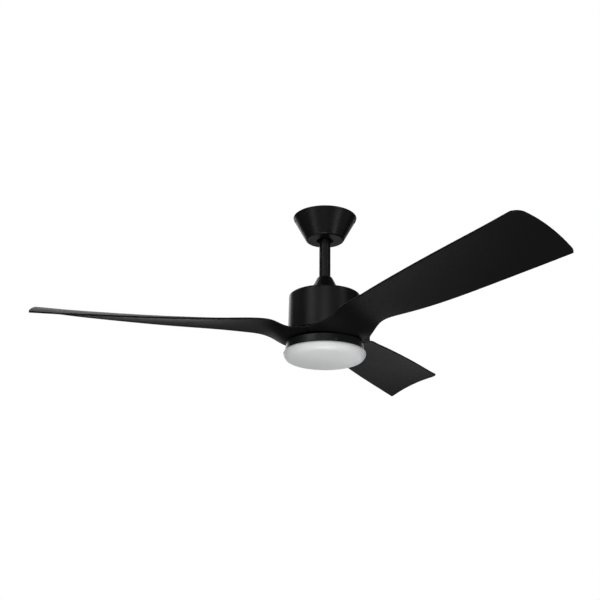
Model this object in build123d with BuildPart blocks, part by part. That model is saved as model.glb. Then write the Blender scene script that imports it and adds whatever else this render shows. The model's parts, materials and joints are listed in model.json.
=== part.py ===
# Three-blade ceiling fan with a round LED light, 1.27 m across.
# Frame: origin at the centre of the ceiling mounting face, +Z up, so the whole fan is below z = 0.
# X runs left to right and Y away from the viewer in the drawing view.
import os
from math import cos, radians, sin, sqrt

from build123d import *

os.makedirs("parts", exist_ok=True)

# ---------------------------------------------------------------- driving dimensions (mm, degrees)
# ceiling bracket
PLATE_R = 58.0          # round ceiling plate
PLATE_T = 3.0
SLOT_SPACING = 89.0     # centre to centre of the two screw slots
SLOT_LENGTH = 16.0
SLOT_WIDTH = 5.5
WIRE_HOLE_R = 10.0
YOKE_X = 30.0           # inner face of each yoke leg
YOKE_T = 3.0
YOKE_W = 32.0
TAB_T = 3.0             # canopy screw tabs, parallel to the canopy's wall
TAB_W = 14.0

# ball hanger
BALL_Z = -34.0          # centre of the ball, the tilt point
BALL_R = 19.0
LINER_IN_R = 19.3
LINER_OUT_R = 22.0
CUP_R = 22.3
CUP_OUT_R = 33.0

# canopy
CANOPY_TOP_R = 74.2
CANOPY_TOP_Z = -0.8
CANOPY_BOT_R = 43.2
CANOPY_BOT_Z = -57.4
CANOPY_WALL = 1.6
CANOPY_EDGE_R = 5.0
CANOPY_HOLE_R = 19.5
CANOPY_SCREW_Z = -9.0   # where the screw axis meets the outer wall
CANOPY_SLOPE = (CANOPY_TOP_R - CANOPY_BOT_R) / (CANOPY_TOP_Z - CANOPY_BOT_Z)
SCREW_X = CANOPY_TOP_R - (CANOPY_TOP_Z - CANOPY_SCREW_Z) * CANOPY_SLOPE

# downrod and coupling
ROD_R = 13.0
ROD_BORE_R = 10.8
ROD_TOP_Z = -18.0
ROD_BOT_Z = -186.0
PIN_R = 3.0
CLEVIS_Z = -175.0
COUPLING_R = 17.0
COUPLING_TOP_Z = -164.0
FLANGE_R = 32.0
COVER_TOP_Z = -150.0
COVER_TOP_R = 17.0
COVER_BOT_R = 38.6
COVER_WALL = 1.6

# motor housing
HOUSING_TOP_Z = -194.0
HOUSING_BOT_Z = -285.0
HOUSING_TOP_R = 81.0
HOUSING_BOT_R = 82.3
HOUSING_WALL = 2.0
HOUSING_EDGE_R = 4.0
HOUSING_SCREW_PCR = 25.5

# motor
SHAFT_R = 11.0
SHAFT_BORE_R = 7.6
SHAFT_BOT_Z = -316.0
STATOR_TOP_Z = -232.0
STATOR_BOT_Z = -256.0
STATOR_R = 50.0
TEETH = 12
MAGNET_IN_R = 50.9
MAGNET_OUT_R = 55.9
MAGNETS = 14
BELL_IN_R = 55.92
BELL_OUT_R = 59.5
BELL_BOT_Z = -272.0
CAP_TOP_Z = -218.0
CAP_BOT_Z = -222.0
RACE_IN_R = 11.02
RACE_OUT_R = 19.0
BALL_PCR = 15.1
BEARING_BALL_R = 2.3
BEARING_W = 9.0
BEARING_Z = (-221.5, -269.0)

# blade hub and blades
HUB_TOP_Z = -281.0
HUB_BOT_Z = -287.0
HUB_R = 78.0
GASKET_T = 1.0
ROOT_TOP_Z = HUB_BOT_Z - GASKET_T
ROOT_BOT_Z = -305.5
BLADE_ANGLES = (184.8, 304.8, 64.8)
BLADE_EDGE_T = 4.0
BLADE_SCREW_PCR = 61.0
BLADE_SCREW_ANGLES = (-38.0, 0.0, 38.0)
ROOT_HALF_ANGLE = 59.7
# station: distance from the axis, lower edge (v, z), upper edge (v, z), camber, mid thickness
BLADE_STATIONS = (
    (24.0, 89.0, -296.0, -89.0, -296.0, -1.0, 22.0),
    (50.0, 86.8, -295.8, -86.8, -295.6, -1.2, 22.0),
    (62.0, 78.0, -294.8, -79.3, -294.0, -2.2, 22.0),
    (75.0, 69.3, -292.8, -74.2, -292.0, -3.6, 22.0),
    (87.5, 64.4, -290.3, -69.6, -289.5, -3.8, 20.5),
    (98.0, 61.8, -286.3, -65.4, -285.9, -3.1, 18.2),
    (108.5, 60.2, -281.2, -62.2, -280.9, -2.1, 15.4),
    (119.0, 59.2, -276.5, -60.4, -276.0, -1.0, 12.4),
    (132.5, 58.5, -273.3, -59.8, -271.3, 0.4, 9.6),
    (148.5, 58.3, -272.2, -59.6, -268.0, 1.9, 7.6),
    (171.0, 59.3, -272.7, -59.6, -265.8, 3.4, 6.8),
    (199.5, 60.9, -274.5, -60.5, -263.5, 4.7, 6.5),
    (238.0, 62.6, -276.9, -62.8, -260.5, 5.8, 6.4),
    (290.5, 64.2, -279.2, -66.2, -257.3, 7.0, 6.4),
    (357.5, 65.0, -280.7, -69.6, -253.5, 7.7, 6.4),
    (434.0, 65.2, -281.0, -71.4, -248.6, 8.0, 6.3),
    (511.0, 65.2, -280.8, -71.5, -243.5, 8.3, 6.1),
    (578.0, 65.6, -280.3, -70.8, -238.4, 8.5, 5.8),
    (643.0, 66.6, -279.2, -69.4, -232.5, 8.6, 5.4),
)
TIP_U = 638.0           # blade tip on its own centre line
TIP_TRAIL_V = 69.6      # plan outline of the tip, just outside the blade's edges
TIP_LEAD_V = 72.4
TIP_LEAD_R = 26.0       # large corner at the upper edge
TIP_TRAIL_R = 9.4       # small corner at the lower edge

# light
PAN_TOP_Z = -306.5
PAN_BOT_Z = -325.4
PAN_TOP_R = 85.5
PAN_BOT_R = 89.0
PAN_WALL = 2.0
BOARD_Z = -317.0
BOARD_T = 1.6
BOARD_R = 76.0
COLLAR_R = 83.4
RING_FLANGE_R = 85.6
DIFFUSER_R = 92.0
DIFFUSER_TOP_Z = -325.7
DIFFUSER_BOT_Z = -353.5
DIFFUSER_WALL = 2.2
BAYONET_ANGLES = (30.0, 150.0, 270.0)
MARK_ANGLE = 284.5

UP = (Align.CENTER, Align.CENTER, Align.MIN)


def post(x, y, z0, z1, r, mode=Mode.ADD):
    """Upright cylinder from z0 up to z1."""
    with Locations((x, y, z0)):
        Cylinder(r, z1 - z0, align=UP, mode=mode)


def polar(r, angle):
    return r * cos(radians(angle)), r * sin(radians(angle))


def wall_plane(side):
    """Plane on the canopy's outer wall at a screw: z outward, y up along the wall."""
    return Plane(origin=(side * SCREW_X, 0, CANOPY_SCREW_Z), x_dir=(0, side, 0), z_dir=(side, 0, -CANOPY_SLOPE))


# ---------------------------------------------------------------- ceiling side
with BuildPart() as ceiling_bracket:
    # round plate with two screw slots and the wire hole
    with BuildSketch(Plane.XY.offset(-PLATE_T)):
        Circle(PLATE_R)
        Circle(WIRE_HOLE_R, mode=Mode.SUBTRACT)
        with Locations((-SLOT_SPACING / 2, 0), (SLOT_SPACING / 2, 0)):
            SlotOverall(SLOT_LENGTH, SLOT_WIDTH, mode=Mode.SUBTRACT)
    extrude(amount=PLATE_T)
    # cup that carries the ball, on two yoke legs
    with BuildSketch(Plane.XY.offset(BALL_Z - 15)):
        Circle(CUP_OUT_R)
    extrude(amount=9)
    for side in (-1, 1):
        with Locations((side * (YOKE_X + YOKE_T / 2), 0, BALL_Z - 15)):
            Box(YOKE_T, YOKE_W, -PLATE_T - (BALL_Z - 15), align=UP)
        # arm with a bent tab for the canopy screw
        with Locations((side * 62.2, 0, -PLATE_T)):
            Box(13, TAB_W, PLATE_T, align=UP)
        with Locations(wall_plane(side)):
            with Locations((0, 0.7, -2.5)):
                Box(TAB_W, 13.4, TAB_T, align=(Align.CENTER, Align.CENTER, Align.MAX))
            with Locations((0, 0, -2.5)):
                Cylinder(2.02, TAB_T, align=(Align.CENTER, Align.CENTER, Align.MAX), mode=Mode.SUBTRACT)
    with Locations((0, 0, BALL_Z)):
        Sphere(CUP_R, mode=Mode.SUBTRACT)
    # open front, so the ball can be hung in from the side
    with Locations((0, -CUP_OUT_R / 2 - 2, BALL_Z - 10)):
        Box(2 * ROD_R + 1.4, CUP_OUT_R + 4, 14, mode=Mode.SUBTRACT)
    # earth screw hole
    post(-18, -18, -PLATE_T - 1, 1, 1.82, Mode.SUBTRACT)
ceiling_bracket.part.label = "ceiling_bracket"
export_step(ceiling_bracket.part, "parts/ceiling_bracket.step")

with BuildPart() as earth_screw:
    post(-18, -18, -PLATE_T - 2.2, -PLATE_T, 3.6)
    post(-18, -18, -PLATE_T, -0.3, 1.8)
    with Locations((-18, -18, -PLATE_T - 2.2)):
        Box(5.0, 0.9, 1.8, mode=Mode.SUBTRACT)
        Box(0.9, 5.0, 1.8, mode=Mode.SUBTRACT)
earth_screw.part.label = "earth_screw"
export_step(earth_screw.part, "parts/earth_screw.step")

with BuildPart() as receiver_box:
    with Locations((0, 34, -25)):
        Box(50, 20, 22, align=UP)
    fillet(receiver_box.edges().filter_by(Axis.Z), 2.5)
    fillet(receiver_box.faces().sort_by(Axis.Z)[0].edges(), 1.5)
    # lead openings at both ends
    for side in (-1, 1):
        with Locations(Location((side * 24, 34, -14), (0, 90, 0))):
            Cylinder(3, 6, mode=Mode.SUBTRACT)
receiver_box.part.label = "receiver_box"
export_step(receiver_box.part, "parts/receiver_box.step")

with BuildPart() as terminal_block:
    with Locations((0, -33, -17)):
        Box(34, 14, 14, align=UP)
    fillet(terminal_block.edges().filter_by(Axis.Z), 1.5)
    for x in (-11, 0, 11):
        post(x, -33, -17.1, -7, 2.6, Mode.SUBTRACT)
        with Locations(Location((x, -33, -8.5), (90, 0, 0))):
            Cylinder(1.4, 20, mode=Mode.SUBTRACT)
    for x in (-5.5, 5.5):
        with Locations((x, -33, -17)):
            Box(1.6, 16, 8, mode=Mode.SUBTRACT)
terminal_block.part.label = "terminal_block"
export_step(terminal_block.part, "parts/terminal_block.step")

with BuildPart() as terminal_screws:
    for x in (-11, 0, 11):
        post(x, -33, -14, -10.2, 2.5)
        with Locations((x, -33, -14)):
            Box(6, 0.8, 1.6, mode=Mode.SUBTRACT)
terminal_screws.part.label = "terminal_screws"
export_step(terminal_screws.part, "parts/terminal_screws.step")

# canopy: inverted cone with a rounded lower edge and a hole round the rod
with BuildPart() as canopy:
    with BuildSketch(Plane.XZ) as canopy_profile:
        with BuildLine():
            Polyline(
                (CANOPY_TOP_R, CANOPY_TOP_Z),
                (CANOPY_BOT_R, CANOPY_BOT_Z),
                (CANOPY_HOLE_R, CANOPY_BOT_Z),
                (CANOPY_HOLE_R, CANOPY_BOT_Z + CANOPY_WALL),
                (CANOPY_BOT_R - 1.1, CANOPY_BOT_Z + CANOPY_WALL),
                (CANOPY_TOP_R - 1.85, CANOPY_TOP_Z),
                close=True,
            )
        make_face()
        fillet([v for v in canopy_profile.vertices() if abs(v.Y - CANOPY_BOT_Z) < 0.01 and v.X > 40], CANOPY_EDGE_R)
        fillet(
            [v for v in canopy_profile.vertices() if abs(v.Y - CANOPY_BOT_Z - CANOPY_WALL) < 0.01 and v.X > 40],
            CANOPY_EDGE_R - CANOPY_WALL,
        )
        fillet([v for v in canopy_profile.vertices() if abs(v.Y - CANOPY_TOP_Z) < 0.01], 0.6)
    revolve(axis=Axis.Z)
    for side in (-1, 1):
        with Locations(wall_plane(side)):
            Cylinder(2.2, 8, mode=Mode.SUBTRACT)
canopy.part.label = "canopy"
export_step(canopy.part, "parts/canopy.step")

with BuildPart() as canopy_screws:
    for side in (-1, 1):
        with Locations(wall_plane(side)):
            # low head that lies on the wall, with a cross recess
            with Locations((0, 0, 0.02)):
                Cone(3.4, 2.6, 1.1, align=UP)
            with Locations((0, 0, 0.1)):
                Cylinder(1.98, 7.6, align=(Align.CENTER, Align.CENTER, Align.MAX))
            with Locations((0, 0, 1.1)):
                Box(0.8, 3.6, 1.2, mode=Mode.SUBTRACT)
                Box(3.6, 0.8, 1.2, mode=Mode.SUBTRACT)
canopy_screws.part.label = "canopy_screws"
export_step(canopy_screws.part, "parts/canopy_screws.step")

# ---------------------------------------------------------------- ball hanger and downrod
with BuildPart() as ball_seat_liner:
    with Locations((0, 0, BALL_Z)):
        Sphere(LINER_OUT_R)
        Sphere(LINER_IN_R, mode=Mode.SUBTRACT)
    with Locations((0, 0, BALL_Z - 3.5)):
        Box(60, 60, 40, align=UP, mode=Mode.SUBTRACT)
    with Locations((0, 0, BALL_Z - 11.4)):
        Box(60, 60, 40, align=(Align.CENTER, Align.CENTER, Align.MAX), mode=Mode.SUBTRACT)
    # same open front as the cup
    with Locations((0, -20, BALL_Z - 8)):
        Box(2 * ROD_R + 1.4, 20, 12, mode=Mode.SUBTRACT)
ball_seat_liner.part.label = "ball_seat_liner"
export_step(ball_seat_liner.part, "parts/ball_seat_liner.step")

with BuildPart() as hanger_ball:
    with Locations((0, 0, BALL_Z)):
        Sphere(BALL_R)
    with Locations((0, 0, BALL_Z + 12)):
        Box(60, 60, 40, align=UP, mode=Mode.SUBTRACT)
    with Locations((0, 0, BALL_Z - 13)):
        Box(60, 60, 40, align=(Align.CENTER, Align.CENTER, Align.MAX), mode=Mode.SUBTRACT)
    post(0, 0, BALL_Z - 30, BALL_Z + 30, ROD_R + 0.03, Mode.SUBTRACT)
    with Locations(Location((0, 0, BALL_Z), (0, 90, 0))):
        Cylinder(PIN_R + 0.03, 60, mode=Mode.SUBTRACT)
hanger_ball.part.label = "hanger_ball"
export_step(hanger_ball.part, "parts/hanger_ball.step")

with BuildPart() as ball_pin:
    with Locations(Location((0, 0, BALL_Z), (0, 90, 0))):
        Cylinder(PIN_R, 35)
    chamfer(ball_pin.edges(), 0.5)
ball_pin.part.label = "ball_pin"
export_step(ball_pin.part, "parts/ball_pin.step")

with BuildPart() as downrod:
    post(0, 0, ROD_BOT_Z, ROD_TOP_Z, ROD_R)
    chamfer(downrod.edges().group_by(Axis.Z)[-1], 0.8)
    post(0, 0, ROD_BOT_Z - 1, ROD_TOP_Z + 1, ROD_BORE_R, Mode.SUBTRACT)
    for z in (BALL_Z, CLEVIS_Z):
        with Locations(Location((0, 0, z), (0, 90, 0))):
            Cylinder(PIN_R + 0.03, 60, mode=Mode.SUBTRACT)
downrod.part.label = "downrod"
export_step(downrod.part, "parts/downrod.step")

# four conductors down the rod and the hollow shaft
with BuildPart() as wiring_loom:
    for x in (-1.6, 1.6):
        for y in (-5.4, 5.4):
            post(x, y, -315.0, -12.0, 1.2)
wiring_loom.part.label = "wiring_loom"
export_step(wiring_loom.part, "parts/wiring_loom.step")

with BuildPart() as motor_coupling:
    post(0, 0, -202.0, -196.5, FLANGE_R)
    post(0, 0, -202.0, COUPLING_TOP_Z, COUPLING_R)
    chamfer(motor_coupling.edges().group_by(Axis.Z)[-1], 1.0)
    post(0, 0, ROD_BOT_Z - 0.2, COUPLING_TOP_Z + 1, ROD_R + 0.03, Mode.SUBTRACT)
    post(0, 0, -203.0, -180.0, SHAFT_BORE_R, Mode.SUBTRACT)
    post(0, 0, -203.0, -190.0, SHAFT_R + 0.02, Mode.SUBTRACT)
    with Locations(Location((0, 0, CLEVIS_Z), (0, 90, 0))):
        Cylinder(PIN_R + 0.03, 60, mode=Mode.SUBTRACT)
    with Locations(Location((0, 0, CLEVIS_Z + 4), (90, 0, 0))):
        Cylinder(2.52, 60, mode=Mode.SUBTRACT)
    for a in (45, 135, 225, 315):
        x, y = polar(HOUSING_SCREW_PCR, a)
        post(x, y, -203.0, -190.0, 2.02, Mode.SUBTRACT)
    for a in (0, 120, 240):
        x, y = polar(27.0, a)
        post(x, y, -203.0, -198.0, 1.52, Mode.SUBTRACT)
motor_coupling.part.label = "motor_coupling"
export_step(motor_coupling.part, "parts/motor_coupling.step")

with BuildPart() as coupling_set_screws:
    for side in (-1, 1):
        with Locations(Location((0, side * 15.9, CLEVIS_Z + 4), (90, 0, 0))):
            Cylinder(2.5, 5.6)
        with Locations(Location((0, side * 18.2, CLEVIS_Z + 4), (90, 0, 0))):
            Cylinder(1.3, 4, mode=Mode.SUBTRACT)
coupling_set_screws.part.label = "coupling_set_screws"
export_step(coupling_set_screws.part, "parts/coupling_set_screws.step")

with BuildPart() as clevis_pin:
    with Locations(Location((0.5, 0, CLEVIS_Z), (0, 90, 0))):
        Cylinder(PIN_R, 41)
    with Locations(Location((-18.6, 0, CLEVIS_Z), (0, 90, 0))):
        Cylinder(4.4, 1.8)
    with Locations(Location((18.9, 0, CLEVIS_Z), (90, 0, 0))):
        Cylinder(0.9, 20, mode=Mode.SUBTRACT)
clevis_pin.part.label = "clevis_pin"
export_step(clevis_pin.part, "parts/clevis_pin.step")

# hairpin clip: one leg through the pin, the other over it
with BuildPart() as retaining_clip:
    with BuildLine() as clip_path:
        leg = Line((18.9, -9, CLEVIS_Z), (18.9, 7, CLEVIS_Z))
        bow = ThreePointArc((18.9, 7, CLEVIS_Z), (18.9, 9.6, CLEVIS_Z + 2.6), (18.9, 7, CLEVIS_Z + 5.2))
        Line((18.9, 7, CLEVIS_Z + 5.2), (18.9, -6, CLEVIS_Z + 5.2))
    with BuildSketch(Plane(origin=(18.9, -9, CLEVIS_Z), z_dir=(0, 1, 0))):
        Circle(0.8)
    sweep()
retaining_clip.part.label = "retaining_clip"
export_step(retaining_clip.part, "parts/retaining_clip.step")

with BuildPart() as coupling_cover:
    with BuildSketch(Plane.XZ) as cover_profile:
        with BuildLine():
            Polyline(
                (ROD_R + 0.3, COVER_TOP_Z),
                (COVER_TOP_R, COVER_TOP_Z),
                (COVER_BOT_R, HOUSING_TOP_Z),
                (COVER_BOT_R - 1.75, HOUSING_TOP_Z),
                (COVER_TOP_R - 1.1, COVER_TOP_Z - COVER_WALL),
                (ROD_R + 0.3, COVER_TOP_Z - COVER_WALL),
                close=True,
            )
        make_face()
        fillet([v for v in cover_profile.vertices() if abs(v.Y - COVER_TOP_Z) < 0.01 and v.X > 14], 1.4)
    revolve(axis=Axis.Z)
coupling_cover.part.label = "coupling_cover"
export_step(coupling_cover.part, "parts/coupling_cover.step")

# ---------------------------------------------------------------- motor housing and stator
with BuildPart() as motor_housing:
    with BuildSketch(Plane.XZ) as housing_profile:
        with BuildLine():
            Polyline(
                (COUPLING_R + 0.25, HOUSING_TOP_Z),
                (HOUSING_TOP_R, HOUSING_TOP_Z),
                (HOUSING_BOT_R, HOUSING_BOT_Z),
                (HOUSING_BOT_R - HOUSING_WALL, HOUSING_BOT_Z),
                (HOUSING_TOP_R - HOUSING_WALL, HOUSING_TOP_Z - 2.5),
                (COUPLING_R + 0.25, HOUSING_TOP_Z - 2.5),
                close=True,
            )
        make_face()
        fillet([v for v in housing_profile.vertices() if abs(v.Y - HOUSING_TOP_Z) < 0.01 and v.X > 50], HOUSING_EDGE_R)
        fillet([v for v in housing_profile.vertices() if abs(v.Y - HOUSING_TOP_Z + 2.5) < 0.01 and v.X > 50], 2.0)
        fillet([v for v in housing_profile.vertices() if abs(v.Y - HOUSING_BOT_Z) < 0.01], 0.5)
    revolve(axis=Axis.Z)
    for a in (45, 135, 225, 315):
        x, y = polar(HOUSING_SCREW_PCR, a)
        post(x, y, HOUSING_TOP_Z - 4, HOUSING_TOP_Z + 1, 2.2, Mode.SUBTRACT)
motor_housing.part.label = "motor_housing"
export_step(motor_housing.part, "parts/motor_housing.step")

with BuildPart() as housing_screws:
    for a in (45, 135, 225, 315):
        x, y = polar(HOUSING_SCREW_PCR, a)
        post(x, y, HOUSING_TOP_Z, HOUSING_TOP_Z + 2.4, 3.7)
        post(x, y, -201.0, HOUSING_TOP_Z, 2.0)
        with Locations((x, y, HOUSING_TOP_Z + 2.4)):
            Box(4.6, 0.9, 2.4, mode=Mode.SUBTRACT)
            Box(0.9, 4.6, 2.4, mode=Mode.SUBTRACT)
housing_screws.part.label = "housing_screws"
export_step(housing_screws.part, "parts/housing_screws.step")

with BuildPart() as motor_shaft:
    post(0, 0, SHAFT_BOT_Z, -190.0, SHAFT_R)
    chamfer(motor_shaft.edges().group_by(Axis.Z)[0], 0.8)
    post(0, 0, SHAFT_BOT_Z - 1, -189.0, SHAFT_BORE_R, Mode.SUBTRACT)
motor_shaft.part.label = "motor_shaft"
export_step(motor_shaft.part, "parts/motor_shaft.step")

with BuildPart() as control_board:
    with BuildSketch(Plane.XY.offset(-209.6)):
        Circle(62)
        Circle(14, mode=Mode.SUBTRACT)
        with PolarLocations(27, 3):
            Circle(1.6, mode=Mode.SUBTRACT)
    extrude(amount=1.6)
control_board.part.label = "control_board"
export_step(control_board.part, "parts/control_board.step")

with BuildPart() as board_standoffs:
    for a in (0, 120, 240):
        x, y = polar(27.0, a)
        post(x, y, -208.0, -202.0, 3.0)
        post(x, y, -211.0, -198.4, 1.5)
        post(x, y, -211.4, -209.6, 2.6)
board_standoffs.part.label = "board_standoffs"
export_step(board_standoffs.part, "parts/board_standoffs.step")

with BuildPart() as board_components:
    for i, a in enumerate((30, 60, 90, 150, 180, 210, 270, 300, 330)):
        x, y = polar(47.0, a)
        if i % 3 == 0:
            post(x, y, -214.6, -209.6, 4.0)
        elif i % 3 == 1:
            with Locations(Location((x, y, -211.6), (0, 0, a))):
                Box(7, 10, 2.0, align=UP)
        else:
            with Locations(Location((x, y, -213.1), (0, 0, a))):
                Box(9, 6, 3.5, align=UP)
board_components.part.label = "board_components"
export_step(board_components.part, "parts/board_components.step")

with BuildPart() as stator_core:
    with BuildSketch(Plane.XY.offset(STATOR_BOT_Z)):
        Circle(25)
        with PolarLocations(35, TEETH):
            Rectangle(26, 8)
        with BuildSketch(mode=Mode.PRIVATE) as tooth_tips:
            Circle(STATOR_R)
            Circle(46.6, mode=Mode.SUBTRACT)
            with PolarLocations(50, TEETH, start_angle=180 / TEETH):
                Rectangle(16, 4.2, mode=Mode.SUBTRACT)
        add(tooth_tips.sketch)
        Circle(SHAFT_R + 0.02, mode=Mode.SUBTRACT)
    extrude(amount=STATOR_TOP_Z - STATOR_BOT_Z)
stator_core.part.label = "stator_core"
export_step(stator_core.part, "parts/stator_core.step")

# one coil round each tooth
with BuildPart() as stator_windings:
    with PolarLocations(0, TEETH):
        with Locations((38.0, 0, STATOR_BOT_Z - 4.5)):
            Box(15.0, 13.0, STATOR_TOP_Z - STATOR_BOT_Z + 9, align=UP)
    fillet(stator_windings.edges().filter_by(lambda e: abs(e.tangent_at(0.5).Z) < 0.01 and abs(e.length - 15.0) < 0.01), 3.0)
    with PolarLocations(0, TEETH):
        with Locations((38.0, 0, STATOR_BOT_Z - 0.1)):
            Box(20.0, 8.2, STATOR_TOP_Z - STATOR_BOT_Z + 0.2, align=UP, mode=Mode.SUBTRACT)
stator_windings.part.label = "stator_windings"
export_step(stator_windings.part, "parts/stator_windings.step")

# ---------------------------------------------------------------- bearings
with BuildPart() as bearing_inner_races:
    for z in BEARING_Z:
        post(0, 0, z - BEARING_W / 2, z + BEARING_W / 2, 13.6)
        post(0, 0, z - BEARING_W, z + BEARING_W, RACE_IN_R, Mode.SUBTRACT)
        with Locations((0, 0, z)):
            Torus(BALL_PCR, BEARING_BALL_R + 0.3, mode=Mode.SUBTRACT)
bearing_inner_races.part.label = "bearing_inner_races"
export_step(bearing_inner_races.part, "parts/bearing_inner_races.step")

with BuildPart() as bearing_outer_races:
    for z in BEARING_Z:
        post(0, 0, z - BEARING_W / 2, z + BEARING_W / 2, RACE_OUT_R)
        post(0, 0, z - BEARING_W, z + BEARING_W, 16.6, Mode.SUBTRACT)
        with Locations((0, 0, z)):
            Torus(BALL_PCR, BEARING_BALL_R + 0.01, mode=Mode.SUBTRACT)
bearing_outer_races.part.label = "bearing_outer_races"
export_step(bearing_outer_races.part, "parts/bearing_outer_races.step")

with BuildPart() as bearing_balls:
    for z in BEARING_Z:
        with Locations((0, 0, z)):
            with PolarLocations(BALL_PCR, 10):
                Sphere(BEARING_BALL_R)
bearing_balls.part.label = "bearing_balls"
export_step(bearing_balls.part, "parts/bearing_balls.step")

# ---------------------------------------------------------------- rotor
with BuildPart() as rotor_cap:
    post(0, 0, CAP_BOT_Z, CAP_TOP_Z, BELL_OUT_R)
    post(0, 0, -226.0, -216.0, 24.0)
    post(0, 0, -227.0, -217.0, RACE_OUT_R + 0.02, Mode.SUBTRACT)
    post(0, 0, -230.0, -210.0, 16.6, Mode.SUBTRACT)
    with PolarLocations(57.7, 6):
        with Locations((0, 0, CAP_BOT_Z - 1)):
            Cylinder(1.3, 8, align=UP, mode=Mode.SUBTRACT)
    # cooling windows
    with PolarLocations(41, 6, start_angle=30):
        with Locations((0, 0, CAP_BOT_Z - 1)):
            Cylinder(7, 8, align=UP, mode=Mode.SUBTRACT)
rotor_cap.part.label = "rotor_cap"
export_step(rotor_cap.part, "parts/rotor_cap.step")

with BuildPart() as rotor_cap_screws:
    with PolarLocations(57.7, 6):
        with Locations((0, 0, CAP_TOP_Z)):
            Cylinder(2.1, 1.6, align=UP)
        with Locations((0, 0, CAP_BOT_Z - 5)):
            Cylinder(1.2, 9, align=UP)
    with PolarLocations(57.7, 6):
        with Locations((0, 0, CAP_TOP_Z + 1.6)):
            Box(2.8, 0.6, 1.4, mode=Mode.SUBTRACT)
rotor_cap_screws.part.label = "rotor_cap_screws"
export_step(rotor_cap_screws.part, "parts/rotor_cap_screws.step")

with BuildPart() as rotor_bell:
    post(0, 0, BELL_BOT_Z, CAP_BOT_Z, BELL_OUT_R)
    post(0, 0, BELL_BOT_Z + 4, CAP_BOT_Z + 1, BELL_IN_R, Mode.SUBTRACT)
    post(0, 0, -275.0, -263.5, 24.0)
    post(0, 0, -273.6, -262.0, RACE_OUT_R + 0.02, Mode.SUBTRACT)
    post(0, 0, -280.0, -260.0, 16.6, Mode.SUBTRACT)
    with PolarLocations(57.7, 6):
        with Locations((0, 0, CAP_BOT_Z - 6)):
            Cylinder(1.22, 8, align=UP, mode=Mode.SUBTRACT)
    with PolarLocations(38, 6):
        with Locations((0, 0, BELL_BOT_Z - 1)):
            Cylinder(2.02, 8, align=UP, mode=Mode.SUBTRACT)
rotor_bell.part.label = "rotor_bell"
export_step(rotor_bell.part, "parts/rotor_bell.step")

with BuildPart() as rotor_magnets:
    with BuildSketch(Plane.XY.offset(-260.0)):
        Circle(MAGNET_OUT_R)
        Circle(MAGNET_IN_R, mode=Mode.SUBTRACT)
        with PolarLocations(53.4, MAGNETS):
            Rectangle(8, 1.6, mode=Mode.SUBTRACT)
    extrude(amount=32)
rotor_magnets.part.label = "rotor_magnets"
export_step(rotor_magnets.part, "parts/rotor_magnets.step")

with BuildPart() as blade_hub:
    post(0, 0, HUB_BOT_Z, HUB_TOP_Z, HUB_R)
    post(0, 0, HUB_TOP_Z, BELL_BOT_Z, 47.0)
    fillet(blade_hub.edges().filter_by(GeomType.CIRCLE).filter_by(lambda e: abs(e.radius - HUB_R) < 0.01), 1.0)
    post(0, 0, HUB_BOT_Z - 1, BELL_BOT_Z + 1, 30.0, Mode.SUBTRACT)
    with PolarLocations(38, 6):
        with Locations((0, 0, HUB_BOT_Z - 1)):
            Cylinder(2.1, 20, align=UP, mode=Mode.SUBTRACT)
    for b in BLADE_ANGLES:
        for s in BLADE_SCREW_ANGLES:
            x, y = polar(BLADE_SCREW_PCR, b + s)
            post(x, y, HUB_BOT_Z - 1, HUB_TOP_Z + 1, 2.52, Mode.SUBTRACT)
blade_hub.part.label = "blade_hub"
export_step(blade_hub.part, "parts/blade_hub.step")

with BuildPart() as hub_screws:
    with PolarLocations(38, 6):
        with Locations((0, 0, HUB_BOT_Z - 3)):
            Cylinder(3.6, 3, align=UP)
        with Locations((0, 0, HUB_BOT_Z)):
            Cylinder(2.0, 17, align=UP)
    with PolarLocations(38, 6):
        with Locations((0, 0, HUB_BOT_Z - 3)):
            Cylinder(1.6, 1.8, align=UP, mode=Mode.SUBTRACT)
hub_screws.part.label = "hub_screws"
export_step(hub_screws.part, "parts/hub_screws.step")

with BuildPart() as blade_gaskets:
    for b in BLADE_ANGLES:
        with BuildSketch(Plane.XY.offset(ROOT_TOP_Z).rotated((0, 0, b))):
            Circle(75)
            Circle(47, mode=Mode.SUBTRACT)
            with BuildLine():
                Polyline((0, 0), (120 * cos(radians(52)), 120 * sin(radians(52))), (140, 0),
                         (120 * cos(radians(52)), -120 * sin(radians(52))), close=True)
            make_face(mode=Mode.INTERSECT)
            for s in BLADE_SCREW_ANGLES:
                with Locations(polar(BLADE_SCREW_PCR, s)):
                    Circle(2.8, mode=Mode.SUBTRACT)
        extrude(amount=GASKET_T)
blade_gaskets.part.label = "blade_gaskets"
export_step(blade_gaskets.part, "parts/blade_gaskets.step")

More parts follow.
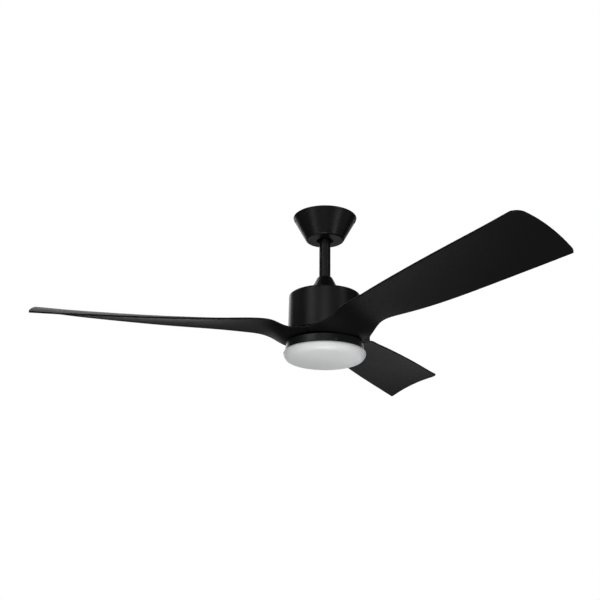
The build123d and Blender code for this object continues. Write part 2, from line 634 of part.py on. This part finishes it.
# ---------------------------------------------------------------- blade: cambered, twisted, S-shaped root
e = BLADE_EDGE_T / 2
with BuildPart() as blade:
    for u, vp, zp, vm, zm, camber, thick in BLADE_STATIONS:
        vc = (vp + vm) / 2
        zc = (zp + zm) / 2 + camber
        with BuildSketch(Plane(origin=(u, 0, 0), x_dir=(0, 1, 0), z_dir=(1, 0, 0))):
            with BuildLine():
                ThreePointArc((vm, zm + e), (vc, zc + thick / 2), (vp, zp + e))
                ThreePointArc((vp, zp + e), (vp + 0.8 * e, zp), (vp, zp - e))
                ThreePointArc((vp, zp - e), (vc, zc - thick / 2), (vm, zm - e))
                ThreePointArc((vm, zm - e), (vm - 0.8 * e, zm), (vm, zm + e))
            make_face()
    loft()
    # tip outline in plan: one large and one small corner on a slightly bowed end
    lead_u = TIP_U - 3.3 - TIP_LEAD_R
    trail_u = TIP_U + 1.2 - TIP_TRAIL_R
    with BuildSketch(Plane.XY.offset(-340)):
        with BuildLine():
            Polyline((trail_u, TIP_TRAIL_V), (trail_u, 140), (0, 140), (0, -140), (lead_u, -140), (lead_u, -TIP_LEAD_V))
            ThreePointArc((lead_u, -TIP_LEAD_V), (lead_u + 0.7071 * TIP_LEAD_R, -TIP_LEAD_V + 0.2929 * TIP_LEAD_R),
                          (lead_u + TIP_LEAD_R, -TIP_LEAD_V + TIP_LEAD_R))
            ThreePointArc((lead_u + TIP_LEAD_R, -TIP_LEAD_V + TIP_LEAD_R), (TIP_U, 5),
                          (trail_u + TIP_TRAIL_R, TIP_TRAIL_V - TIP_TRAIL_R))
            ThreePointArc((trail_u + TIP_TRAIL_R, TIP_TRAIL_V - TIP_TRAIL_R),
                          (trail_u + 0.7071 * TIP_TRAIL_R, TIP_TRAIL_V - 0.2929 * TIP_TRAIL_R), (trail_u, TIP_TRAIL_V))
        make_face()
    extrude(amount=200, mode=Mode.INTERSECT)
    # a third of the hub circle for each root, with a thin seam to its neighbours
    with BuildSketch(Plane.XY.offset(-340)):
        with BuildLine():
            Polyline((0, 0), (300 * cos(radians(ROOT_HALF_ANGLE)), 300 * sin(radians(ROOT_HALF_ANGLE))), (800, 300),
                     (800, -300), (300 * cos(radians(ROOT_HALF_ANGLE)), -300 * sin(radians(ROOT_HALF_ANGLE))), close=True)
        make_face()
    extrude(amount=200, mode=Mode.INTERSECT)
    # seat under the hub, clearance round the housing, over the light pan and round the hub screws
    post(0, 0, ROOT_TOP_Z, ROOT_TOP_Z + 60, 84.5, Mode.SUBTRACT)
    post(0, 0, ROOT_BOT_Z - 40, ROOT_BOT_Z, 97.0, Mode.SUBTRACT)
    post(0, 0, -340, -260, 44.0, Mode.SUBTRACT)
    # hollow under the root for the screw heads
    with BuildSketch(Plane.XY.offset(ROOT_BOT_Z - 1)):
        Circle(78)
        Circle(49, mode=Mode.SUBTRACT)
        with BuildLine():
            Polyline((0, 0), (120 * cos(radians(53)), 120 * sin(radians(53))), (140, 0),
                     (120 * cos(radians(53)), -120 * sin(radians(53))), close=True)
        make_face(mode=Mode.INTERSECT)
    extrude(amount=12.5, mode=Mode.SUBTRACT)
    for s in BLADE_SCREW_ANGLES:
        x, y = polar(BLADE_SCREW_PCR, s)
        post(x, y, -300, -280, 2.8, Mode.SUBTRACT)

with BuildPart() as blade_a:
    add(blade.part, rotation=(0, 0, BLADE_ANGLES[0]))
blade_a.part.label = "blade_a"
export_step(blade_a.part, "parts/blade_a.step")

with BuildPart() as blade_b:
    add(blade.part, rotation=(0, 0, BLADE_ANGLES[1]))
blade_b.part.label = "blade_b"
export_step(blade_b.part, "parts/blade_b.step")

with BuildPart() as blade_c:
    add(blade.part, rotation=(0, 0, BLADE_ANGLES[2]))
blade_c.part.label = "blade_c"
export_step(blade_c.part, "parts/blade_c.step")

with BuildPart() as blade_screws:
    for b in BLADE_ANGLES:
        for s in BLADE_SCREW_ANGLES:
            x, y = polar(BLADE_SCREW_PCR, b + s)
            post(x, y, -297.0, -294.0, 4.6)
            post(x, y, -294.0, -281.5, 2.5)
            with Locations((x, y, -297.0)):
                Box(5.6, 1.0, 3.0, mode=Mode.SUBTRACT)
                Box(1.0, 5.6, 3.0, mode=Mode.SUBTRACT)
blade_screws.part.label = "blade_screws"
export_step(blade_screws.part, "parts/blade_screws.step")

# ---------------------------------------------------------------- light
PAN_SLOPE = (PAN_BOT_R - PAN_TOP_R) / (PAN_TOP_Z - PAN_BOT_Z)
MARK_Z = -319.4
mark_r = PAN_TOP_R + PAN_SLOPE * (PAN_TOP_Z - MARK_Z)
mark_plane = Plane(
    origin=(*polar(mark_r, MARK_ANGLE), MARK_Z),
    x_dir=(-sin(radians(MARK_ANGLE)), cos(radians(MARK_ANGLE)), 0),
    z_dir=(cos(radians(MARK_ANGLE)), sin(radians(MARK_ANGLE)), PAN_SLOPE),
)

# small inlaid triangle that shows the lock position of the diffuser
with BuildPart() as lock_mark:
    with BuildSketch(mark_plane):
        with BuildLine():
            Polyline((-2.2, -2.1), (2.2, -2.1), (0, 2.1), close=True)
        make_face()
    extrude(amount=0.35)
    extrude(lock_mark.faces().sort_by(Axis((0, 0, 0), mark_plane.z_dir))[0], amount=0.6)
lock_mark.part.label = "lock_mark"
export_step(lock_mark.part, "parts/lock_mark.step")

with BuildPart() as light_pan:
    with BuildSketch(Plane.XZ) as pan_profile:
        with BuildLine():
            Polyline(
                (SHAFT_R + 0.3, PAN_TOP_Z),
                (PAN_TOP_R, PAN_TOP_Z),
                (PAN_BOT_R, PAN_BOT_Z),
                (PAN_BOT_R - PAN_WALL, PAN_BOT_Z),
                (PAN_TOP_R - PAN_WALL, PAN_TOP_Z - 2),
                (SHAFT_R + 0.3, PAN_TOP_Z - 2),
                close=True,
            )
        make_face()
        fillet([v for v in pan_profile.vertices() if abs(v.Y - PAN_TOP_Z) < 0.01 and v.X > 50], 1.5)
        fillet([v for v in pan_profile.vertices() if abs(v.Y - PAN_BOT_Z) < 0.01 and v.X > PAN_BOT_R - 0.1], 0.6)
    revolve(axis=Axis.Z)
    # bosses for the LED board
    for a in (30, 150, 270):
        x, y = polar(50.0, a)
        post(x, y, BOARD_Z, PAN_TOP_Z - 2, 4.0)
        post(x, y, BOARD_Z - 1, BOARD_Z + 6, 1.52, Mode.SUBTRACT)
    # bayonet ledges with a stop at one end
    for a in BAYONET_ANGLES:
        with BuildSketch(Plane.XY.offset(-321.2).rotated((0, 0, a))):
            Circle(86.6)
            Circle(83.8, mode=Mode.SUBTRACT)
            with BuildLine():
                Polyline((0, 0), polar(110, -6), polar(110, 8.2), close=True)
            make_face(mode=Mode.INTERSECT)
        extrude(amount=2.0)
        with BuildSketch(Plane.XY.offset(-321.2).rotated((0, 0, a))):
            Circle(85.4)
            Circle(83.8, mode=Mode.SUBTRACT)
            with BuildLine():
                Polyline((0, 0), polar(110, 6.2), polar(110, 8.2), close=True)
            make_face(mode=Mode.INTERSECT)
        extrude(amount=8.0)
    add(lock_mark.part, mode=Mode.SUBTRACT)
light_pan.part.label = "light_pan"
export_step(light_pan.part, "parts/light_pan.step")

with BuildPart() as shaft_nuts:
    for z in (PAN_TOP_Z, PAN_TOP_Z - 8):
        with BuildSketch(Plane.XY.offset(z)):
            RegularPolygon(18.0, 6, major_radius=True)
            Circle(SHAFT_R + 0.02, mode=Mode.SUBTRACT)
        extrude(amount=6)
shaft_nuts.part.label = "shaft_nuts"
export_step(shaft_nuts.part, "parts/shaft_nuts.step")

with BuildPart() as led_driver:
    with Locations((-46, 0, -315.5)):
        Box(44, 26, 7.0, align=UP)
    fillet(led_driver.edges().filter_by(Axis.Z), 2.0)
led_driver.part.label = "led_driver"
export_step(led_driver.part, "parts/led_driver.step")

with BuildPart() as led_board:
    with BuildSketch(Plane.XY.offset(BOARD_Z - BOARD_T)):
        Circle(BOARD_R)
        Circle(20, mode=Mode.SUBTRACT)
        for a in (30, 150, 270):
            with Locations(polar(50.0, a)):
                Circle(1.7, mode=Mode.SUBTRACT)
    extrude(amount=BOARD_T)
led_board.part.label = "led_board"
export_step(led_board.part, "parts/led_board.step")

with BuildPart() as led_chips:
    with PolarLocations(65, 24):
        with Locations((0, 0, BOARD_Z - BOARD_T - 0.8)):
            Box(5, 5, 0.8, align=UP)
    with PolarLocations(36, 12):
        with Locations((0, 0, BOARD_Z - BOARD_T - 0.8)):
            Box(5, 5, 0.8, align=UP)
led_chips.part.label = "led_chips"
export_step(led_chips.part, "parts/led_chips.step")

with BuildPart() as led_board_screws:
    for a in (30, 150, 270):
        x, y = polar(50.0, a)
        post(x, y, BOARD_Z - BOARD_T - 1.8, BOARD_Z - BOARD_T, 2.9)
        post(x, y, BOARD_Z - BOARD_T, BOARD_Z + 5, 1.5)
        with Locations((x, y, BOARD_Z - BOARD_T - 1.8)):
            Box(3.6, 0.8, 1.8, mode=Mode.SUBTRACT)
            Box(0.8, 3.6, 1.8, mode=Mode.SUBTRACT)
led_board_screws.part.label = "led_board_screws"
export_step(led_board_screws.part, "parts/led_board_screws.step")

# opal diffuser: round shoulder and shallow dome, bonded round its bayonet ring
def dome_rise(x, rim_r, rim_rise):
    """Rise at radius x of a sphere centred on the axis that rises rim_rise at rim_r."""
    r = (rim_r**2 + rim_rise**2) / (2 * rim_rise)
    return r - sqrt(r**2 - x**2)


w = DIFFUSER_WALL
with BuildPart() as diffuser:
    with BuildSketch(Plane.XZ):
        with BuildLine():
            Polyline((0, DIFFUSER_BOT_Z + w), (0, DIFFUSER_BOT_Z))
            ThreePointArc((0, DIFFUSER_BOT_Z), (40, DIFFUSER_BOT_Z + dome_rise(40, 78, 7.1)), (78, DIFFUSER_BOT_Z + 7.1))
            TangentArc((78, DIFFUSER_BOT_Z + 7.1), (DIFFUSER_R, DIFFUSER_BOT_Z + 22.5), tangent=(cos(radians(10.3)), sin(radians(10.3))))
            ThreePointArc((DIFFUSER_R, DIFFUSER_BOT_Z + 22.5), (90.9, DIFFUSER_TOP_Z - 1.7), (88.2, DIFFUSER_TOP_Z))
            Polyline((88.2, DIFFUSER_TOP_Z), (RING_FLANGE_R, DIFFUSER_TOP_Z), (RING_FLANGE_R, DIFFUSER_TOP_Z - w),
                     (87.6, DIFFUSER_TOP_Z - w))
            ThreePointArc((87.6, DIFFUSER_TOP_Z - w), (89.1, DIFFUSER_TOP_Z - w - 1.0), (DIFFUSER_R - w, DIFFUSER_BOT_Z + 22.3))
            TangentArc((77.6, DIFFUSER_BOT_Z + 9.25), (DIFFUSER_R - w, DIFFUSER_BOT_Z + 22.3),
                       tangent=(cos(radians(10.3)), sin(radians(10.3))))
            ThreePointArc((77.6, DIFFUSER_BOT_Z + 9.25), (40, DIFFUSER_BOT_Z + w + dome_rise(40, 77.6, 7.05)), (0, DIFFUSER_BOT_Z + w))
        make_face()
    revolve(axis=Axis.Z)
diffuser.part.label = "diffuser"
export_step(diffuser.part, "parts/diffuser.step")

# bayonet ring: collar with three lugs, and a flange inside the diffuser's mouth
with BuildPart() as diffuser_ring:
    with BuildSketch(Plane.XZ):
        with BuildLine():
            Polyline(
                (COLLAR_R - 1.8, -312.0),
                (COLLAR_R, -312.0),
                (COLLAR_R, DIFFUSER_TOP_Z),
                (RING_FLANGE_R - 0.02, DIFFUSER_TOP_Z),
                (RING_FLANGE_R - 0.02, DIFFUSER_TOP_Z - w),
                (COLLAR_R - 1.8, DIFFUSER_TOP_Z - w),
                close=True,
            )
        make_face()
    revolve(axis=Axis.Z)
    for a in BAYONET_ANGLES:
        with BuildSketch(Plane.XY.offset(-318.7).rotated((0, 0, a))):
            Circle(85.0)
            Circle(COLLAR_R - 0.5, mode=Mode.SUBTRACT)
            with BuildLine():
                Polyline((0, 0), polar(110, -5), polar(110, 5), close=True)
            make_face(mode=Mode.INTERSECT)
        extrude(amount=2.2)
diffuser_ring.part.label = "diffuser_ring"
export_step(diffuser_ring.part, "parts/diffuser_ring.step")
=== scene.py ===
"""Looks of the ceiling fan with light: materials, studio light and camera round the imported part."""

import json
import math

import bpy
from mathutils import Matrix, Vector

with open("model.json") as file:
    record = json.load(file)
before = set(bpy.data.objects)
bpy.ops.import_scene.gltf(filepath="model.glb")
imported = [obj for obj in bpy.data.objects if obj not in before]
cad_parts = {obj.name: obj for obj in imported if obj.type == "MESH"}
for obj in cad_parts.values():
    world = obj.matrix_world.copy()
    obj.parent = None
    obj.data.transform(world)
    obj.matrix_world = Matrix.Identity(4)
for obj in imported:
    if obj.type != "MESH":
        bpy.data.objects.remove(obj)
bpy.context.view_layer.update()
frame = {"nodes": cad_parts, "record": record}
scene = bpy.context.scene
nodes = frame["nodes"]

# ---------------------------------------------------------------- materials


class Graph:
    """A node material around one Principled shader, in object coordinates (metres)."""

    def __init__(self, name):
        self.mat = bpy.data.materials.new(name)
        self.mat.use_nodes = True
        self.tree = self.mat.node_tree
        self.bsdf = next(n for n in self.tree.nodes if n.type == "BSDF_PRINCIPLED")
        self.coord = self.tree.nodes.new("ShaderNodeTexCoord")

    def node(self, kind, **values):
        n = self.tree.nodes.new(kind)
        for key, value in values.items():
            if hasattr(n, key):
                setattr(n, key, value)
            else:
                n.inputs[key.replace("_", " ")].default_value = value
        return n

    def link(self, a, b):
        self.tree.links.new(a, b)

    def place(self, scale=(1, 1, 1), rotation=(0, 0, 0)):
        m = self.node("ShaderNodeMapping")
        m.inputs["Scale"].default_value = scale
        m.inputs["Rotation"].default_value = rotation
        self.link(self.coord.outputs["Object"], m.inputs["Vector"])
        return m.outputs["Vector"]

    def noise(self, scale, detail=3.0, rough=0.55, vector=None):
        n = self.node("ShaderNodeTexNoise")
        n.inputs["Scale"].default_value = scale
        n.inputs["Detail"].default_value = detail
        n.inputs["Roughness"].default_value = rough
        self.link(vector or self.coord.outputs["Object"], n.inputs["Vector"])
        return n.outputs["Fac"]

    def cells(self, scale, feature="F1", vector=None, out="Distance"):
        n = self.node("ShaderNodeTexVoronoi")
        n.feature = feature
        n.inputs["Scale"].default_value = scale
        self.link(vector or self.coord.outputs["Object"], n.inputs["Vector"])
        return n.outputs[out]

    def span(self, fac, lo, hi, from_lo=0.3, from_hi=0.7):
        """Maps a noise value to lo..hi."""
        n = self.node("ShaderNodeMapRange")
        n.inputs["From Min"].default_value = from_lo
        n.inputs["From Max"].default_value = from_hi
        n.inputs["To Min"].default_value = lo
        n.inputs["To Max"].default_value = hi
        self.link(fac, n.inputs["Value"])
        return n.outputs["Result"]

    def ramp(self, fac, *stops):
        n = self.node("ShaderNodeValToRGB")
        e = n.color_ramp.elements
        while len(e) < len(stops):
            e.new(0.5)
        for i, (at, colour) in enumerate(stops):
            e[i].position = at
            e[i].color = (*colour, 1)
        self.link(fac, n.inputs["Fac"])
        return n.outputs["Color"]

    def mix(self, fac, a, b):
        n = self.node("ShaderNodeMix")
        n.data_type = "RGBA"
        self.link(fac, n.inputs["Factor"])
        for value, socket in ((a, n.inputs[6]), (b, n.inputs[7])):
            if isinstance(value, tuple):
                socket.default_value = (*value, 1)
            else:
                self.link(value, socket)
        return n.outputs[2]

    def math(self, op, a, b):
        n = self.node("ShaderNodeMath")
        n.operation = op
        for value, socket in ((a, n.inputs[0]), (b, n.inputs[1])):
            if isinstance(value, (int, float)):
                socket.default_value = value
            else:
                self.link(value, socket)
        return n.outputs[0]

    def colour(self, socket):
        self.link(socket, self.bsdf.inputs["Base Color"])

    def rough(self, socket):
        self.link(socket, self.bsdf.inputs["Roughness"])

    def bump(self, *layers):
        """Each layer is (height socket, distance in metres, strength)."""
        last = None
        for height, distance, strength in layers:
            n = self.node("ShaderNodeBump")
            n.inputs["Distance"].default_value = distance
            n.inputs["Strength"].default_value = strength
            self.link(height, n.inputs["Height"])
            if last:
                self.link(last, n.inputs["Normal"])
            last = n.outputs["Normal"]
        self.link(last, self.bsdf.inputs["Normal"])

    def set(self, **values):
        for key, value in values.items():
            socket = self.bsdf.inputs[key.replace("_", " ")]
            socket.default_value = (*value, 1) if isinstance(value, tuple) and len(value) == 3 and socket.type == "RGBA" else value


def tone(colour, k):
    return tuple(min(1.0, c * k) for c in colour)


def painted(name, colour, rough, peel=1.0, spec=0.5):
    """Satin powder coat: soft orange peel, a finer grain and slightly uneven gloss."""
    g = Graph(name)
    g.set(Specular_IOR_Level=spec)
    g.colour(g.ramp(g.noise(38, 4), (0.3, tone(colour, 0.86)), (0.7, tone(colour, 1.14))))
    g.rough(g.span(g.noise(210, 4), rough - 0.035, rough + 0.035))
    g.bump((g.noise(620, 2), 0.00016, 0.16 * peel), (g.noise(3200, 2), 0.00005, 0.16 * peel))
    return g.mat


def moulded(name, colour, rough, grain=1.0, spec=0.5):
    """Moulded plastic with a fine spark-eroded grain."""
    g = Graph(name)
    g.set(Specular_IOR_Level=spec)
    g.colour(g.ramp(g.noise(26, 3), (0.3, tone(colour, 0.9)), (0.7, tone(colour, 1.1))))
    g.rough(g.span(g.noise(160, 3), rough - 0.04, rough + 0.04))
    g.bump((g.cells(1150), 0.00006, 0.16 * grain), (g.noise(2600, 2), 0.00004, 0.14 * grain))
    return g.mat


def plated(name, colour, rough, spangle=0.0, brush=0.0):
    """Bare or plated metal, with a crystal pattern or fine drawn lines."""
    g = Graph(name)
    g.set(Metallic=1.0)
    base = g.ramp(g.noise(120, 4), (0.3, tone(colour, 0.88)), (0.7, tone(colour, 1.08)))
    if spangle:
        cell = g.cells(170, out="Color")
        grey = g.node("ShaderNodeRGBToBW")
        g.link(cell, grey.inputs[0])
        base = g.mix(g.span(grey.outputs[0], 0.0, spangle, 0.2, 0.8), base, tone(colour, 0.62))
    g.colour(base)
    fine = g.noise(900, 3, vector=g.place((1, 1, 0.05)) if brush else None)
    g.rough(g.span(fine, rough - 0.07, rough + 0.07))
    g.bump((fine, 0.00004, 0.1 + brush), (g.noise(240, 2), 0.00008, 0.08))
    return g.mat


BLACK = (0.0042, 0.0042, 0.0045)
BLADE = (0.0036, 0.0036, 0.0039)

satin_black = painted("satin_black_metal", BLACK, 0.38, spec=0.27)
# painted light: the same black paint with a doubled base colour stands in for light falling on the light's ring
pan_black_painted_light = painted("pan_black_painted_light", tone(BLACK, 2.0), 0.36, 0.8, spec=0.56)
blade_black = moulded("blade_black", BLADE, 0.52, 0.8, spec=0.13)
black_screw = painted("black_screw", (0.03, 0.03, 0.032), 0.36, 0.5)
module_plastic = moulded("module_plastic", (0.05, 0.05, 0.054), 0.5, 1.3)
terminal_white = moulded("terminal_white", (0.78, 0.78, 0.75), 0.42, 0.6)
nylon = moulded("nylon", (0.70, 0.68, 0.62), 0.38, 0.5)
rubber_black = moulded("rubber_black", (0.022, 0.022, 0.022), 0.72, 1.2)
wire_insulation = moulded("wire_insulation", (0.32, 0.32, 0.33), 0.45, 0.3)
mark_grey = moulded("mark_grey", (0.11, 0.11, 0.112), 0.5, 0.5)
zinc_steel = plated("zinc_steel", (0.60, 0.61, 0.62), 0.34, spangle=0.5)
screw_steel = plated("screw_steel", (0.52, 0.52, 0.53), 0.28)
cast_alloy = plated("cast_alloy", (0.56, 0.56, 0.57), 0.46)
lamination = plated("lamination", (0.24, 0.24, 0.26), 0.45)
magnet = plated("magnet", (0.12, 0.12, 0.13), 0.42)


def copper():
    """Rows of enamelled wire wound round each tooth, with painted shade darkening the grooves between turns."""
    g = Graph("copper")
    g.set(Metallic=0.85, Coat_Weight=0.4, Coat_Roughness=0.15)
    w = g.node("ShaderNodeTexWave")
    w.bands_direction = "Z"
    w.inputs["Scale"].default_value = 260
    w.inputs["Distortion"].default_value = 0.6
    g.link(g.coord.outputs["Object"], w.inputs["Vector"])
    # painted shade: the ramp darkens the copper in the wave troughs, the grooves between wire turns
    g.colour(g.ramp(w.outputs["Fac"], (0.0, (0.30, 0.10, 0.035)), (0.8, (0.66, 0.29, 0.12))))
    g.rough(g.span(g.noise(400), 0.26, 0.38))
    g.bump((w.outputs["Fac"], 0.0004, 0.8))
    return g.mat


def board(name, colour, rough):
    """Circuit board: solder mask with raised tracks."""
    g = Graph(name)
    track = g.cells(160, "DISTANCE_TO_EDGE")
    fac = g.span(track, 1.0, 0.0, 0.02, 0.05)
    g.colour(g.mix(fac, tone(colour, 0.94), tone(colour, 1.12)))
    g.rough(g.span(g.noise(300), rough - 0.04, rough + 0.04))
    g.bump((fac, 0.00005, 0.5))
    return g.mat


def phosphor():
    g = Graph("led_phosphor")
    g.colour(g.ramp(g.noise(500, 3), (0.3, (0.78, 0.62, 0.16)), (0.7, (0.86, 0.73, 0.27))))
    g.rough(g.span(g.noise(900), 0.25, 0.36))
    g.bump((g.noise(1500, 2), 0.00004, 0.2))
    g.set(Subsurface_Weight=0.2, Subsurface_Scale=0.001)
    return g.mat


def opal():
    """Opal polycarbonate: light spreads in the wall, satin outside, a trace of moulding unevenness."""
    g = Graph("opal")
    g.set(Subsurface_Weight=0.12, Subsurface_Radius=(1.0, 0.96, 0.9), Subsurface_Scale=0.006, Specular_IOR_Level=0.5)
    g.colour(g.ramp(g.noise(22, 3), (0.3, (0.900, 0.905, 0.912)), (0.7, (0.925, 0.930, 0.937))))
    g.rough(g.span(g.noise(140, 3), 0.29, 0.37))
    g.bump((g.noise(60, 2), 0.0002, 0.05), (g.noise(1800, 2), 0.00003, 0.1))
    return g.mat


MATERIALS = {
    "satin_black_metal": satin_black,
    "blade_black": blade_black,
    "opal": opal(),
    "zinc_steel": zinc_steel,
    "screw_steel": screw_steel,
    "black_screw": black_screw,
    "cast_alloy": cast_alloy,
    "lamination": lamination,
    "copper": copper(),
    "magnet": magnet,
    "nylon": nylon,
    "rubber_black": rubber_black,
    "pcb_green": board("pcb_green", (0.03, 0.16, 0.07), 0.34),
    "pcb_white": board("pcb_white", (0.74, 0.74, 0.73), 0.4),
    "led_phosphor": phosphor(),
    "module_plastic": module_plastic,
    "terminal_white": terminal_white,
    "wire_insulation": wire_insulation,
    "mark_grey": mark_grey,
}

for sub in frame["record"]["subparts"]:
    obj = nodes[sub["node"]]
    obj.data.materials.clear()
    obj.data.materials.append(MATERIALS[sub["material_slot"]])

# the light's ring gets a glossier copy of the black paint with its base colour doubled: painted light that brightens
# the ring
nodes["light_pan"].data.materials[0] = pan_black_painted_light

# ---------------------------------------------------------------- floor, world and light


def look_at(location, target):
    return (Vector(target) - Vector(location)).to_track_quat("-Z", "Y").to_euler()


FLOOR_R = 40.0
floor_mesh = bpy.data.meshes.new("floor")
floor_mesh.from_pydata(
    [(FLOOR_R * math.cos(math.tau * i / 128), FLOOR_R * math.sin(math.tau * i / 128), -2.45) for i in range(128)],
    [],
    [list(range(128))],
)
floor = bpy.data.objects.new("floor", floor_mesh)
scene.collection.objects.link(floor)
g = Graph("floor_pale")
pale = g.ramp(g.noise(0.6, 3), (0.3, (0.80, 0.80, 0.79)), (0.7, (0.83, 0.83, 0.82)))
g.colour(pale)
g.rough(g.span(g.noise(3), 0.6, 0.7))
g.link(pale, g.bsdf.inputs["Emission Color"])
g.set(Emission_Strength=0.95, Specular_IOR_Level=0.1)
floor_mesh.materials.append(g.mat)
# a bright floor for the eye only: it throws no light back on the dark paint
floor.visible_diffuse = False
floor.visible_glossy = False

world = bpy.data.worlds.new("studio")
scene.world = world
world.use_nodes = True
wt = world.node_tree
wt.nodes.clear()
out = wt.nodes.new("ShaderNodeOutputWorld")
pick = wt.nodes.new("ShaderNodeMixShader")
path = wt.nodes.new("ShaderNodeLightPath")
fill = wt.nodes.new("ShaderNodeBackground")
fill.inputs["Color"].default_value = (1, 1, 1, 1)
fill.inputs["Strength"].default_value = 0.03
white = wt.nodes.new("ShaderNodeBackground")
white.inputs["Color"].default_value = (1, 1, 1, 1)
white.inputs["Strength"].default_value = 1.0
wt.links.new(path.outputs["Is Camera Ray"], pick.inputs["Fac"])
wt.links.new(fill.outputs[0], pick.inputs[1])
wt.links.new(white.outputs[0], pick.inputs[2])
wt.links.new(pick.outputs[0], out.inputs["Surface"])


def softbox(name, location, target, size, watts, size_y=None):
    lamp = bpy.data.lights.new(name, "AREA")
    lamp.shape = "RECTANGLE"
    lamp.size = size
    lamp.size_y = size_y or size
    lamp.energy = watts
    obj = bpy.data.objects.new(name, lamp)
    obj.location = location
    obj.rotation_euler = look_at(location, target)
    scene.collection.objects.link(obj)
    obj.visible_camera = False
    return obj


CENTRE = Vector((0, 0, -0.22))


def studio(name, azimuth, elevation, distance, size, size_y, watts):
    """A softbox seen from the fan at that azimuth (0 is towards -Y, 90 towards +X) and elevation."""
    a, e = math.radians(azimuth), math.radians(elevation)
    way = Vector((math.sin(a) * math.cos(e), -math.cos(a) * math.cos(e), math.sin(e)))
    return softbox(name, CENTRE + way * distance, CENTRE, size, watts, size_y)


studio("key", -44, 22, 2.6, 1, 0.9, 7.8)
studio("key_mid", 2, 20, 2.6, 0.9, 0.7, 1.9)
studio("key_right", 30, 24, 2.6, 0.9, 0.8, 1.4)
studio("key_far_right", 56, 22, 2.6, 0.7, 0.8, 3.5)
studio("front", -4, 3, 2.6, 1.2, 0.3, 15)
studio("under_front", 0, -62, 2, 1.2, 0.6, 17.6)
studio("low_left", -54, -29, 2.4, 0.6, 0.9, 5.2)
studio("low_right", 54, -29, 2.4, 0.5, 0.8, 7.3)
studio("side_left", -92, 0, 2.4, 0.8, 1.4, 0.8)
studio("side_right", 92, 0, 2.4, 0.8, 1.4, 1.5)
studio("back_floor", 188, -38, 2.2, 0.7, 0.4, 1.2)
studio("back_mid", 182, -6, 2.6, 1.6, 0.4, 1.4)
studio("back_left", 200, 4, 2.6, 0.8, 0.5, 3.4)
studio("back_right_low", 163, -26, 2.4, 0.9, 0.6, 2.1)
studio("edge_left", -120, 41, 2.6, 0.7, 0.7, 9)
studio("rim_left", -152, 26, 2.6, 0.8, 1.3, 9)
studio("rim_right", 152, 26, 2.6, 0.8, 1.3, 3)
studio("top", 180, 66, 2.2, 1.6, 1.2, 9)

scene.view_settings.view_transform = "Standard"
scene.view_settings.look = "None"

# ---------------------------------------------------------------- camera

camera_data = bpy.data.cameras.new("camera")
camera_data.sensor_width = 36.0
camera_data.lens = 54.334
camera_data.clip_start = 0.05
camera_data.clip_end = 60.0
camera = bpy.data.objects.new("camera", camera_data)
camera.matrix_world = (
    Matrix.Translation((-0.0562, -1.9391, -0.8850))
    @ Matrix.Rotation(math.radians(90 + 19.362), 4, "X")
    @ Matrix.Rotation(math.radians(0.684), 4, "Z")
)
scene.collection.objects.link(camera)
scene.camera = camera
